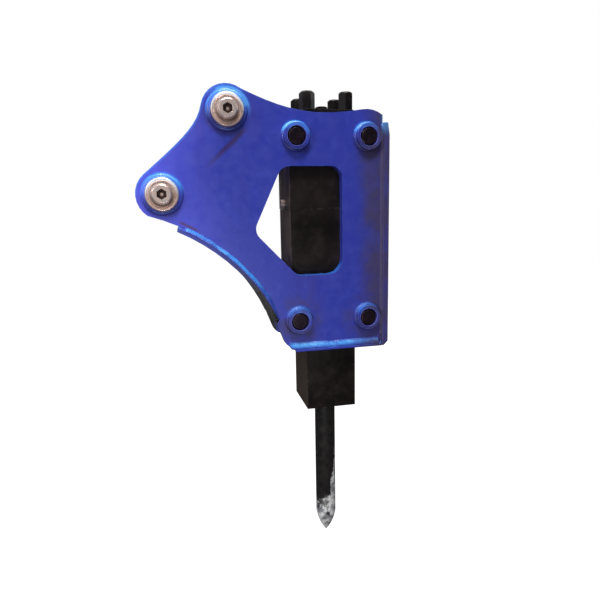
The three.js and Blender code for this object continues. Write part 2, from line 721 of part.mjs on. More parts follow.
/** Hose adapter: threaded tail, hexagon and an open coned nose for the hose's swivel nut. */
function hoseAdapter() {
  const hexThickness = 12;
  const tail = turned([[0, -16], [9, -16], [10, -15], [10, 1], [0, 1]], 16);
  const nose = turned([
    [0, hexThickness - 1], [12, hexThickness - 1], [12, 28], [9.5, 33], [0, 33],
  ], 16);
  const bore = drill('y', 6, -16 - OVERRUN, 33 + OVERRUN, [0, 0], 12);
  return cut(join(hexHead(PORT.flats, 0, hexThickness), tail, nose), bore);
}

/** A hexagon plug: head above its own origin and a threaded shank below. */
function hexPlug(flats, height, radius, length) {
  const shank = turned([
    [0, -length], [radius - 1, -length], [radius, 1 - length], [radius, 1], [0, 1],
  ], 16);
  return join(hexHead(flats, 0, height), shank);
}

function greaseNipple() {
  return turned([
    [0, -12], [4, -12], [4, 0], [5.5, 0], [5.5, 4], [3, 6], [3, 9], [4, 10.5], [3, 13], [0, 13.6],
  ], 12);
}

function addFittings() {
  const group = assembly();
  const face = TOOL_X - BACK_HEAD.halfWidth - GAP;
  const sleeve = tube(VALVE.spoolRadius + GAP, VALVE.sleeveRadius, VALVE.bottom + GAP, CYLINDER.top - 1);
  place(group, 'valve_sleeve', sleeve, bareSteel(), [VALVE.x, 0, 0], UP);
  place(group, 'valve_spool', valveSpool(), bareSteel(), [VALVE.x, 0, 0], UP);
  for (const [name, way] of [['pressure', -1], ['return', 1]]) {
    place(group, `hose_adapter_${name}`, hoseAdapter(), zincPlate(), [face, way * PORT.y, PORT.z], TO_ARM);
  }
  place(group, 'gas_charging_valve', hexPlug(19, 9.2, 6, 16), zincPlate(), [face, 0, GAS_VALVE_Z], TO_ARM);
  const crown = [TOOL_X, 0, BACK_HEAD.top + GAP];
  place(group, 'gas_chamber_plug', hexPlug(27, 16, 10, 24), blackPaint(), crown, UP);
  const nippleAt = [TOOL_X, BODY_HALF_DEPTH + GAP, GREASE_Z];
  place(group, 'grease_nipple', greaseNipple(), zincPlate(), nippleAt);
}

addBracket();
addBucketPins();
addSideBolts();
addHammerBody();
addStrikingGear();
addFittings();

export default breaker;
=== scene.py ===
"""Looks of the hydraulic breaker hammer: paint, weld beads, fasteners, worn steel, light, camera.

Lengths are metres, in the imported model's frame: the origin is the arm pin's centre, +Z is up along
the tool, +X points towards the front plate and Y runs along the pins.
"""

import json
import math

import bmesh
import bpy
from mathutils import Matrix, Vector, noise


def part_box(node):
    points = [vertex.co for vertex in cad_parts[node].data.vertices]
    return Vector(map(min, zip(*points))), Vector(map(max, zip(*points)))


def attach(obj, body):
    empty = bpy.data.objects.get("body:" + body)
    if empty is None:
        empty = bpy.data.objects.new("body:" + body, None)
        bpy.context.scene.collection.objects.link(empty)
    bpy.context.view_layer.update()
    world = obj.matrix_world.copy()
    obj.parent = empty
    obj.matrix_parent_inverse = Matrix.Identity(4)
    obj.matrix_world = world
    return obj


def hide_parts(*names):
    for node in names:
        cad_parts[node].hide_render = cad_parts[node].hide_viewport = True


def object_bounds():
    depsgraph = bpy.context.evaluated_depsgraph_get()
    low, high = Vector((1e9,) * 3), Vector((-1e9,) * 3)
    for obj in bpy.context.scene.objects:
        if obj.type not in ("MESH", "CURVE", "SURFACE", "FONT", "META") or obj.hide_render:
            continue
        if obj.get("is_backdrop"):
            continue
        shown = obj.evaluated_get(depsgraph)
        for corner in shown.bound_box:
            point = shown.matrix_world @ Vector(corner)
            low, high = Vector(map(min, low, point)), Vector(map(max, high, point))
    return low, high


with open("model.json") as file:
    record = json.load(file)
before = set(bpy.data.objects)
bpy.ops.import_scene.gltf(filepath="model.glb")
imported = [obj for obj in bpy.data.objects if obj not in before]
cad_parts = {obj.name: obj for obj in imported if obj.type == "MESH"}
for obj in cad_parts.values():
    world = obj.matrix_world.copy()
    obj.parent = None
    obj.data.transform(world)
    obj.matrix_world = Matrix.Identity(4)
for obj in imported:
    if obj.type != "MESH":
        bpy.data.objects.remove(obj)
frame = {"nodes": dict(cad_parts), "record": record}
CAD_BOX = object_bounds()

MM = 0.001
ROOT = "bracket_and_hammer"
SIDES = {"near": -1, "far": 1}

# Dimensions shared with the solids
PLATE_INNER = 68.5 * MM
PLATE_OUTER = 90.5 * MM
PINS = {"arm": (0.0, 0.0), "link": (146.5 * MM, 176.5 * MM)}
BOLTS = {
    "upper_rear": (297.5 * MM, 123.5 * MM),
    "upper_front": (466.5 * MM, 123.5 * MM),
    "lower_rear": (297.5 * MM, -298 * MM),
    "lower_front": (466.5 * MM, -298 * MM),
}
WEAR_CENTRE = (-159 * MM, -479 * MM)
WEAR_INNER = 451.5 * MM
WEAR_LEDGE = 5.5 * MM
FRONT_FACE = 504.5 * MM
FRONT_TOP = 156 * MM
FOOT_TOP = -362 * MM
TOOL_X = 382 * MM
DOUBLER_RADIUS = 40 * MM
COLLAR_BORE = 22.1 * MM
COLLAR_RADIUS = 29 * MM
SCREW_FACE = 121.4 * MM
BACK_HEAD_TOP = 187 * MM

# Washer over a pin's end: radii of its faces, then heights above its seat
WASHER_BORE = 15.3 * MM
WASHER_LAND = 21.8 * MM
WASHER_GROOVE = (22.6 * MM, 28.2 * MM)
WASHER_LIP = 29.5 * MM
WASHER_OUTER = 35.6 * MM
WASHER_THICKNESS = 9 * MM
WASHER_GROOVE_FLOOR = 6 * MM
WASHER_RIM_CHAMFER = 1.8 * MM
WASHER_SEAT_CHAMFER = 0.8 * MM
WASHER_PROFILE = [
    (WASHER_BORE, 0),
    (WASHER_OUTER - WASHER_SEAT_CHAMFER, 0),
    (WASHER_OUTER, WASHER_SEAT_CHAMFER),
    (WASHER_OUTER, WASHER_THICKNESS - WASHER_RIM_CHAMFER),
    (WASHER_OUTER - WASHER_RIM_CHAMFER, WASHER_THICKNESS),
    (WASHER_LIP, WASHER_THICKNESS),
    (WASHER_GROOVE[1], WASHER_GROOVE_FLOOR),
    (WASHER_GROOVE[0], WASHER_GROOVE_FLOOR),
    (WASHER_LAND, WASHER_THICKNESS),
    (WASHER_BORE, WASHER_THICKNESS),
]

# The camera's place, its turn from +Y towards +X, its tilt down and its roll, in radians
CAMERA_PLACE = (36.6 * MM, -1281.1 * MM, -30.7 * MM)
CAMERA_YAW = 0.218
CAMERA_PITCH = 0.177
CAMERA_ROLL = -0.020
LENS_MM = 31.44
SENSOR_MM = 36

# Marks on the side plates
STREAK_DIRECTION = (0.747, 0.665)
STREAK_OFFSET = 21.5 * MM
REDDISH_LINE_RADIUS = WEAR_INNER + 9.5 * MM
WEAR_END_X = 268 * MM  # the side plate hides the wear plate's edge from here on

# The welded rings round pins and bolts: centre, the radii between which light falls on them, how
# strong it is, and how far it leans to the right
RINGS = [
    (PINS["arm"], 36 * MM, 46 * MM, 0.92, 0.3),
    (PINS["link"], 36 * MM, 51 * MM, 1.0, 0.5),
]
for bolt, bolt_place in BOLTS.items():
    RINGS.append((bolt_place, 22 * MM, 34 * MM, 0.85 if "upper" in bolt else 0.6, 0.25))

# Linear colours
ENAMEL = {
    "rear": (0.073, 0.082, 0.62),
    "front": (0.023, 0.035, 0.33),
    "mottled": (0.050, 0.080, 0.50),
    "lit_ring": (0.050, 0.20, 0.74),
    "glare": (0.13, 0.46, 0.90),
    "shaded_ring": (0.016, 0.012, 0.075),
    "brushed": (0.034, 0.024, 0.21),
    "glint": (0.062, 0.36, 0.94),
    "hot_glint": (0.15, 0.47, 0.90),
    "upward": (0.050, 0.27, 0.90),
    "rim": (0.065, 0.24, 0.82),
    "grime_and_shade": (0.040, 0.028, 0.088),
    "lit_end": (0.060, 0.22, 0.52),
    "shaded_wear_edge": (0.018, 0.028, 0.16),
    "lit_collar_bore": (0.12, 0.12, 0.52),
    "streak": (0.030, 0.016, 0.10),
    "reddish_line": (0.085, 0.022, 0.040),
    "rubbed": (0.10, 0.20, 0.74),
    "dark_low_edge": (0.006, 0.005, 0.007),
    "chips": (0.045, 0.022, 0.016),
}
BLACK = {
    "dark": (0.0034, 0.0020, 0.0022),
    "light": (0.0085, 0.0048, 0.0050),
    "dust": (0.036, 0.024, 0.020),
    "low_mud_and_light": (0.075, 0.048, 0.036),
    "high_mud_and_light": (0.15, 0.098, 0.078),
    "rubbed": (0.16, 0.15, 0.15),
}
TURNED_PITCH = 0.75 * MM  # between the fine rings that a lathe leaves
ZINC = {
    "stained": (0.78, 0.57, 0.49),
    "clean": (0.97, 0.85, 0.82),
    "spots": (0.20, 0.12, 0.09),
    "dirt": (0.25, 0.16, 0.12),
    "warm": (0.86, 0.56, 0.46),
    "sky_reflection": (0.88, 0.93, 1.0),
    "grease_and_shade": (0.050, 0.024, 0.018),
}
WORN_SIDE = (0.976, -0.216)  # direction in the X-Y plane that the tool's worn flank faces
TOOL_STEEL = {
    "scale": (0.005, 0.0045, 0.0045),
    "worn_scale": (0.020, 0.017, 0.016),
    "silver": (0.34, 0.34, 0.37),
    "bright": (1.0, 1.0, 1.0),
}
OXIDE = (0.020, 0.013, 0.020)
OXIDE_LIGHT = tuple(part * 1.9 for part in OXIDE)
OXIDE_POLISHED = (0.20, 0.19, 0.22)
STEEL = (0.46, 0.46, 0.47)
BRONZE = (0.60, 0.38, 0.16)
UNDER_OIL = 0.7  # how much of the metal's brightness an oil film leaves
RUBBER = (0.010, 0.010, 0.010)
RUBBER_BLOOM = (0.032, 0.030, 0.029)


# ---------------------------------------------------------------- materials


EDGE_TURN = (0.01, 0.16)  # how far a rounded normal leaves the plain one at an edge
BEVEL_SAMPLES = 6


class Paint:
    """A node material under construction, with short calls for the nodes that it uses."""

    def __init__(self, name):
        self.material = bpy.data.materials.new(name)
        self.material.use_nodes = True
        self.tree = self.material.node_tree
        self.shader = self.tree.nodes["Principled BSDF"]
        self.place = self.node("ShaderNodeTexCoord").outputs["Object"]

    def node(self, kind, **settings):
        made = self.tree.nodes.new(kind)
        for key, value in settings.items():
            setattr(made, key, value)
        return made

    def feed(self, socket, value):
        """Links a node's output to the socket, or sets the socket to a plain value."""
        if isinstance(value, bpy.types.NodeSocket):
            self.tree.links.new(value, socket)
        else:
            socket.default_value = value

    def set(self, **values):
        """Sets or links the surface shader's sockets: base_color=... is the socket "Base Color"."""
        names = {"specular": "Specular IOR Level"}
        for key, value in values.items():
            self.feed(self.shader.inputs[names.get(key, key.replace("_", " ").title())], value)

    def math(self, operation, a, b=0.0, clamp=False):
        made = self.node("ShaderNodeMath", operation=operation, use_clamp=clamp)
        self.feed(made.inputs[0], a)
        self.feed(made.inputs[1], b)
        return made.outputs[0]

    def product(self, value, *others):
        for other in others:
            value = self.math("MULTIPLY", value, other)
        return value

    def highest(self, value, *others):
        for other in others:
            value = self.math("MAXIMUM", value, other)
        return value

    def magnitude(self, value):
        """The value without its sign."""
        return self.math("ABSOLUTE", value)

    def stretched(self, scale, place=None):
        made = self.node("ShaderNodeMapping")
        made.inputs["Scale"].default_value = scale
        self.feed(made.inputs["Vector"], place or self.place)
        return made.outputs[0]

    def noise(self, scale, detail=4.0, roughness=0.55, distortion=0.0, place=None):
        made = self.node("ShaderNodeTexNoise")
        self.feed(made.inputs["Vector"], place or self.place)
        made.inputs["Scale"].default_value = scale
        made.inputs["Detail"].default_value = detail
        made.inputs["Roughness"].default_value = roughness
        made.inputs["Distortion"].default_value = distortion
        return made.outputs["Fac"]

    def wander(self, reach, scale, **settings):
        """Noise that swings about 0."""
        return self.product(self.math("SUBTRACT", self.noise(scale, **settings), 0.5), reach)

    def cells(self, scale, place=None):
        made = self.node("ShaderNodeTexVoronoi")
        self.feed(made.inputs["Vector"], place or self.place)
        made.inputs["Scale"].default_value = scale
        return made.outputs["Distance"]

    def span(self, value, low, high, to_low=0.0, to_high=1.0):
        """Maps low..high smoothly to to_low..to_high."""
        made = self.node("ShaderNodeMapRange", interpolation_type="SMOOTHSTEP")
        self.feed(made.inputs["Value"], value)
        made.inputs["From Min"].default_value = low
        made.inputs["From Max"].default_value = high
        made.inputs["To Min"].default_value = to_low
        made.inputs["To Max"].default_value = to_high
        return made.outputs["Result"]

    def fade(self, value, low, high, full=1.0):
        """Falls smoothly from full at low to nothing at high."""
        return self.span(value, low, high, full, 0)

    def mix(self, factor, a, b):
        made = self.node("ShaderNodeMix", data_type="RGBA")
        self.feed(made.inputs["Factor"], factor)
        self.feed(made.inputs["A"], (*a, 1) if isinstance(a, tuple) else a)
        self.feed(made.inputs["B"], (*b, 1) if isinstance(b, tuple) else b)
        return made.outputs["Result"]

    def axis(self, name, place=None):
        made = self.node("ShaderNodeSeparateXYZ")
        self.feed(made.inputs[0], place or self.place)
        return made.outputs[name]

    def away_from(self, x, z):
        """Distance in the X-Z plane from a line that runs along Y."""
        dx = self.math("SUBTRACT", self.axis("X"), x)
        dz = self.math("SUBTRACT", self.axis("Z"), z)
        return self.math("SQRT", self.math("ADD", self.product(dx, dx), self.product(dz, dz)))

    def nearest(self, places):
        """Distance from the nearest of several such lines."""
        near, *others = [self.away_from(*place) for place in places]
        for other in others:
            near = self.math("MINIMUM", near, other)
        return near

    def rounded_normal(self, radius):
        """The surface's direction, as if its edges were rounded."""
        rounded = self.node("ShaderNodeBevel", samples=BEVEL_SAMPLES)
        rounded.inputs["Radius"].default_value = radius
        return rounded.outputs["Normal"]

    def dot(self, a, b):
        made = self.node("ShaderNodeVectorMath", operation="DOT_PRODUCT")
        self.feed(made.inputs[0], a)
        self.feed(made.inputs[1], b)
        return made.outputs["Value"]

    def plain_normal(self):
        return self.node("ShaderNodeNewGeometry").outputs["Normal"]

    def edges(self, radius):
        """1 on sharp outer and inner edges, 0 on flat stretches."""
        agreement = self.dot(self.rounded_normal(radius), self.plain_normal())
        return self.span(self.math("SUBTRACT", 1.0, agreement), *EDGE_TURN)

    def facing(self, name):
        """The surface's direction, as its part along one axis."""
        return self.axis(name, self.plain_normal())

    def bump(self, height, distance, strength=1.0, under=None):
        made = self.node("ShaderNodeBump")
        made.inputs["Strength"].default_value = strength
        made.inputs["Distance"].default_value = distance
        self.feed(made.inputs["Height"], height)
        if under is not None:
            self.feed(made.inputs["Normal"], under)
        return made.outputs["Normal"]


def dark_streak(p):
    """A soft dark streak that slants across the plate between the upper pin and the window."""
    x, z = p.axis("X"), p.axis("Z")
    right, up = STREAK_DIRECTION
    along = p.math("ADD", p.product(x, right), p.product(z, up))
    across = p.math("SUBTRACT", p.product(x, up), p.product(z, right))
    centred = p.math("SUBTRACT", across, STREAK_OFFSET)
    off = p.magnitude(p.math("ADD", centred, p.wander(12 * MM, scale=20, detail=2)))
    core = p.fade(off, 0.5 * MM, 8.5 * MM, full=0.9)
    return p.product(core, p.span(along, 100 * MM, 165 * MM), p.fade(along, 215 * MM, 240 * MM))


def under_wear_plate(p):
    """The wear plate's band below its inner face, as far as it stands out from the side plate."""
    band = p.fade(p.away_from(*WEAR_CENTRE), WEAR_INNER - 5.5 * MM, WEAR_INNER - 3 * MM)
    return p.product(band, p.fade(p.axis("X"), WEAR_END_X, WEAR_END_X + 3 * MM))


def proud_of_plates(p):
    """What stands out past the side plates' outer faces."""
    return p.span(p.magnitude(p.axis("Y")), PLATE_OUTER + 0.7 * MM, PLATE_OUTER + 2 * MM)


def dark_low_edge(p):
    """Black, low down on the wear plate's edge and underside."""
    low = p.fade(p.axis("Z"), -235 * MM, -120 * MM)
    inner = p.fade(p.magnitude(p.axis("Y")), PLATE_INNER + 0.5 * MM, PLATE_INNER + 2 * MM)
    turned = p.fade(p.magnitude(p.facing("Y")), 0.4, 0.8)
    return p.product(under_wear_plate(p), low, p.highest(proud_of_plates(p), inner, turned))


def ring_tones(p):
    """Two masks for the welded rings round the pins and bolts: the arcs above that catch the light,
    for painted highlights, and the arcs below, for painted shade."""
    above = below = 0.0
    for (x, z), inner, outer, share, lean in RINGS:
        radius = p.away_from(x, z)
        sideways = p.product(p.math("SUBTRACT", p.axis("X"), x), lean)
        rise = p.math("ADD", p.math("SUBTRACT", p.axis("Z"), z), sideways)
        turn = p.math("DIVIDE", rise, radius)
        start = p.span(radius, inner - 2 * MM, inner)
        lit = p.product(start, p.fade(radius, outer - 2 * MM, outer + 5 * MM))
        above = p.highest(above, p.product(lit, p.span(turn, 0.10, 0.80, 0, share)))
        shaded_band = p.product(start, p.fade(radius, outer - 6 * MM, outer + 9 * MM))
        below = p.highest(below, p.product(shaded_band, p.fade(turn, -0.85, -0.05)))
    return above, below


def reddish_line(p):
    """A reddish line on the side plate where the wear plate's upper end meets it."""
    radius = p.math("ADD", p.away_from(*WEAR_CENTRE), p.wander(10 * MM, scale=40, detail=4))
    line = p.fade(p.magnitude(p.math("SUBTRACT", radius, REDDISH_LINE_RADIUS)), 1 * MM, 5 * MM, full=0.75)
    x = p.axis("X")
    return p.product(line, p.span(x, 28 * MM, 40 * MM), p.fade(x, 60 * MM, 85 * MM))


def weld_fades(p):
    """Where the light on the welds dies away: to the right, down the wear plate, round the lower
    bolts, below the front plate's weld and at the foot weld's upper toe."""
    x, z = p.axis("X"), p.axis("Z")
    yield p.span(x, 400 * MM, 490 * MM, 1, 0.45)
    yield p.highest(p.span(z, -270 * MM, -150 * MM, 0.15, 1), p.fade(z, -345 * MM, -335 * MM))
    lower_bolts = p.nearest([BOLTS["lower_rear"], BOLTS["lower_front"]])
    yield p.span(lower_bolts, 38 * MM, 42 * MM, 0.65, 1)
    yield p.highest(p.fade(x, 492 * MM, 497 * MM), p.span(z, 0, 50 * MM))
    toe = FOOT_TOP + 10 * MM
    yield p.highest(p.span(z, toe - 7 * MM, toe, 1, 0.15), p.span(z, toe + 3 * MM, toe + 5 * MM))


def weld_light(p):
    """Layers for the light on the welds: a patchy glint on their upper sides, and its hot spots."""
    up = p.facing("Z")
    patchy = p.span(p.noise(scale=24, detail=4, roughness=0.6), 0.32, 0.58, 0.25, 1)
    glint = p.product(p.span(up, 0.05, 0.50), patchy, *weld_fades(p))
    warm = p.span(p.noise(scale=17, detail=3), 0.44, 0.60)
    return [("glint", glint), ("hot_glint", p.product(glint, warm, p.span(up, 0.22, 0.50)))]


def grime_and_shade_mask(p, across):
    """Grime and painted shade towards the front plate, round the lower bolts and in the plate's
    groove.
    """
    blotch = p.span(p.noise(scale=26, detail=5, roughness=0.6, distortion=0.4), 0.36, 0.62)
    leaning = p.math("ADD", across, p.product(p.axis("Z"), -0.035))
    grime_and_shade = p.product(p.span(leaning, 435 * MM, 492 * MM, 0, 0.92), p.span(blotch, 0, 1, 0.72, 1))
    for key in ("lower_rear", "lower_front"):
        near = p.fade(p.away_from(*BOLTS[key]), 30 * MM, 75 * MM, full=0.75)
        grime_and_shade = p.highest(grime_and_shade, p.product(near, blotch))
    groove = p.magnitude(p.math("SUBTRACT", p.axis("X"), FRONT_FACE - 2 * MM))
    return p.highest(grime_and_shade, p.fade(groove, 2 * MM, 5 * MM))


def blue_enamel(name, weld=False):
    """Thick glossy enamel brushed over flame-cut plate: uneven tone, grime, rubbed edges, and much
    painted light and shade.
    """
    p = Paint(name)
    x, z, up = p.axis("X"), p.axis("Z"), p.facing("Z")
    across = p.math("ADD", x, p.wander(0.16, scale=5.5, detail=3, roughness=0.5))
    mottle = p.noise(scale=42, detail=6, roughness=0.65)
    brushed = p.noise(scale=14, detail=4, place=p.stretched((1.0, 1.0, 0.22)))
    above, below = ring_tones(p)
    # Painted highlight on rounded edges that face up and to the rear, on the plate's rear part
    rim = p.span(p.dot(p.rounded_normal(9 * MM), (-0.5, 0, 0.86)), 0.08, 0.45)
    grime_and_shade = grime_and_shade_mask(p, across)
    lit_end = p.product(p.span(z, 122 * MM, 150 * MM), p.span(x, 499 * MM, 504 * MM))
    edge = p.edges(2.2 * MM)
    rubbed = p.product(edge, p.span(p.noise(scale=70, detail=5), 0.38, 0.60))
    chips = p.product(edge, p.span(p.noise(scale=170, detail=3), 0.66, 0.70))
    layers = [
        ("mottled", p.span(mottle, 0.45, 0.75, 0, 0.25)),
        # Painted highlights on the rings' upper arcs, painted shade on their lower arcs
        ("lit_ring", p.product(above, 0.80)),
        ("glare", p.span(above, 0.85, 1.0, 0, 0.55)),
        ("shaded_ring", p.product(below, 0.60)),
        ("brushed", p.span(brushed, 0.52, 0.80, 0, 0.40)),
        # Welds get painted glints on their upper sides; other faces a painted highlight the more
        # they face up
        *(weld_light(p) if weld else [("upward", p.span(up, 0.05, 0.75, 0, 0.55))]),
        ("rim", p.product(rim, p.fade(x, 170 * MM, 210 * MM, full=0.75))),
        # Grime and painted shade, less on faces that look up
        ("grime_and_shade", p.product(grime_and_shade, p.span(up, 0.25, 0.6, 1, 0.25))),
        ("lit_end", p.product(lit_end, 0.75)),
        # Painted shade on the wear plate's edge where it stands out past the side plate
        ("shaded_wear_edge", p.product(under_wear_plate(p), proud_of_plates(p), 0.6)),
        # Painted light that lifts the shade inside the bolt collars
        ("lit_collar_bore", p.fade(p.nearest(BOLTS.values()), COLLAR_BORE, COLLAR_BORE + 0.5 * MM)),
        ("streak", dark_streak(p)),
        ("reddish_line", reddish_line(p)),
        ("rubbed", p.product(rubbed, 0.6)),
        ("dark_low_edge", dark_low_edge(p)),
        ("chips", chips),
    ]
    # Painted light and shade: the enamel is lighter towards the rear and darker towards the front
    color = p.mix(p.span(across, -30 * MM, 170 * MM), ENAMEL["rear"], ENAMEL["front"])
    for tint, amount in layers:
        color = p.mix(amount, color, ENAMEL[tint])
    p.set(base_color=color, coat_weight=p.span(grime_and_shade, 0, 0.8, 0.30, 0.02), coat_roughness=0.16)
    sheen = p.span(p.noise(scale=33, detail=5, roughness=0.7), 0.3, 0.7, 0.32, 0.54)
    p.set(roughness=p.math("ADD", sheen, p.product(grime_and_shade, 0.25)))
    waves = p.bump(p.noise(scale=22, detail=2), 0.9 * MM, 0.55)
    # flame-cut drag lines, on the edges that don't face sideways
    drag = p.noise(scale=330, detail=3, roughness=0.6, place=p.stretched((1, 0.05, 1)))
    drag = p.product(drag, p.fade(p.magnitude(p.facing("Y")), 0.15, 0.45))
    cut_lines = p.bump(drag, 0.5 * MM, 0.6, waves)
    peel = p.bump(p.noise(scale=560, detail=2, roughness=0.4), 0.10 * MM, 0.45, cut_lines)
    p.set(normal=p.bump(p.math("SUBTRACT", 1.0, chips), 0.25 * MM, 0.6, peel))
    return p.material


def black_enamel(name, dust=0.30):
    """Satin black paint on castings: dust on upward faces, a brown muddy coat on the rear face,
    lightened there as painted light, more so higher up, and rubbed corners."""
    p = Paint(name)
    z = p.axis("Z")
    broad = p.noise(scale=9, detail=4)
    settled = p.product(p.span(p.facing("Z"), 0.2, 0.95), 0.55)
    cloud = p.span(p.noise(scale=30, detail=7, roughness=0.68), 0.42, 0.72, 0, dust)
    runs = p.noise(scale=24, detail=4, place=p.stretched((1, 1, 0.1)))
    dusty = p.highest(cloud, p.span(runs, 0.56, 0.75, 0, dust), settled)
    rear = p.fade(p.facing("X"), -0.95, -0.5, full=0.85)
    rear_mud_and_light = p.product(rear, p.fade(z, BACK_HEAD_TOP - 1 * MM, BACK_HEAD_TOP + 2 * MM))
    # Painted light: the rear face's muddy colour is raised, and raised more higher up
    mud_and_light = p.mix(p.span(z, -300 * MM, -180 * MM), BLACK["low_mud_and_light"], BLACK["high_mud_and_light"])
    rubbed = p.product(p.edges(1.6 * MM), p.span(p.noise(scale=120, detail=4), 0.45, 0.62))
    color = p.mix(p.span(broad, 0.35, 0.7), BLACK["dark"], BLACK["light"])
    color = p.mix(dusty, color, BLACK["dust"])
    color = p.mix(p.product(rear_mud_and_light, p.span(cloud, 0, dust, 0.6, 1)), color, mud_and_light)
    color = p.mix(p.product(rubbed, 0.7), color, BLACK["rubbed"])
    p.set(base_color=color, specular=0.22)
    sheen = p.span(broad, 0.3, 0.7, 0.34, 0.50)
    p.set(roughness=p.math("ADD", sheen, p.product(dusty, 0.3)))
    skin = p.bump(p.noise(scale=240, detail=4, roughness=0.6), 0.22 * MM, 0.6)
    p.set(normal=p.bump(p.noise(scale=38, detail=2), 0.6 * MM, 0.35, skin))
    return p.material


def oxide_steel(name):
    """Dark bolts and nuts: oxide finish, rubbed bright along the wrench corners."""
    p = Paint(name)
    tone = p.span(p.noise(scale=90, detail=6, roughness=0.7), 0.35, 0.7)
    worn = p.product(p.edges(1.0 * MM), p.span(p.noise(scale=260, detail=3), 0.40, 0.6))
    color = p.mix(tone, OXIDE, OXIDE_LIGHT)
    p.set(base_color=p.mix(p.product(worn, 0.8), color, OXIDE_POLISHED), metallic=0.85)
    p.set(roughness=p.span(p.noise(scale=200, detail=5), 0.3, 0.7, 0.28, 0.5))
    p.set(normal=p.bump(p.noise(scale=700, detail=3), 0.06 * MM, 0.5))
    return p.material


def socket_dirt_and_shade(p):
    """Grease, dirt and painted shade in the pin screws' sockets, with the drilled centre left bright
    as a painted reflection.
    """
    radius = p.nearest(PINS.values())
    ring = p.product(p.fade(radius, 11.2 * MM, 12.4 * MM), p.span(radius, 1.8 * MM, 4.5 * MM))
    out = p.magnitude(p.axis("Y"))
    return p.product(ring, p.fade(out, SCREW_FACE - 2 * MM, SCREW_FACE - 0.3 * MM))


def zinc_steel(name, turned=True):
    """Pinkish zinc plate over steel, with stains. A turned piece has fine rings round its own Y
    axis, a greasy groove darkened with painted shade, a lower half painted warmer as shade, and a
    rim painted with a cool reflection from above."""
    p = Paint(name)
    stain = p.noise(scale=130, detail=6, roughness=0.7)
    color = p.mix(p.span(stain, 0.35, 0.66), ZINC["stained"], ZINC["clean"])
    color = p.mix(p.span(p.noise(scale=320, detail=4), 0.66, 0.78, 0, 0.35), color, ZINC["spots"])
    dirt = p.product(p.edges(1.2 * MM), p.span(p.noise(scale=190, detail=3), 0.45, 0.6))
    color = p.mix(p.product(dirt, 0.5), color, ZINC["dirt"])
    grain = p.noise(scale=420, detail=5)
    if turned:
        z, radius = p.axis("Z"), p.away_from(0, 0)
        turns = p.math("SINE", p.product(radius, 2 * math.pi / TURNED_PITCH))
        grain = p.math("ADD", p.product(turns, 0.3), grain)
        groove = p.product(p.span(radius, 20.5 * MM, 22.2 * MM),
                           p.fade(radius, 25.2 * MM, 28.5 * MM, full=0.85))
        # Grease and painted shade in the groove, more on its lower half
        grease_and_shade = p.product(groove, p.span(z, -10 * MM, 18 * MM, 1, 0.45))
        on_rim_face = p.span(radius, WASHER_LIP - 1 * MM, WASHER_LIP + 0.5 * MM, 0, 0.9)
        # Painted reflection from above on the upper part of the rim's face
        sky_reflection = p.product(p.span(z, -4 * MM, 26 * MM), on_rim_face)
        # Painted shade: the lower half is warmer and darker
        color = p.mix(p.fade(z, -28 * MM, 12 * MM, full=0.65), color, ZINC["warm"])
        color = p.mix(sky_reflection, color, ZINC["sky_reflection"])
    else:
        grease_and_shade, sky_reflection = socket_dirt_and_shade(p), 0.0
    color = p.mix(grease_and_shade, color, ZINC["grease_and_shade"])
    metal = p.math("SUBTRACT", p.fade(grease_and_shade, 0, 1, full=0.8), p.product(sky_reflection, 0.45), clamp=True)
    p.set(base_color=color, metallic=metal)
    p.set(roughness=p.span(stain, 0.3, 0.7, 0.42, 0.24))
    p.set(normal=p.bump(grain, 0.06 * MM, 0.7))
    return p.material


def bare_steel(name, base=STEEL, roughness=(0.2, 0.4)):
    """Bright machined metal with a thin uneven oil film and fine lines across its Z."""
    p = Paint(name)
    film = p.span(p.noise(scale=60, detail=5), 0.35, 0.7)
    oiled = tuple(part * UNDER_OIL for part in base)
    p.set(base_color=p.mix(film, base, oiled), metallic=1.0)
    p.set(roughness=p.span(p.noise(scale=140, detail=4), 0.3, 0.7, *roughness))
    lines = p.noise(scale=600, detail=2, place=p.stretched((1, 1, 0.06)))
    p.set(normal=p.bump(lines, 0.04 * MM, 0.6))
    return p.material


def seal_rubber(name):
    p = Paint(name)
    bloom = p.span(p.noise(scale=120, detail=5), 0.4, 0.7)
    p.set(base_color=p.mix(bloom, RUBBER, RUBBER_BLOOM))
    p.set(roughness=p.span(bloom, 0, 1, 0.5, 0.72))
    p.set(normal=p.bump(p.noise(scale=500, detail=3), 0.05 * MM, 0.5))
    return p.material


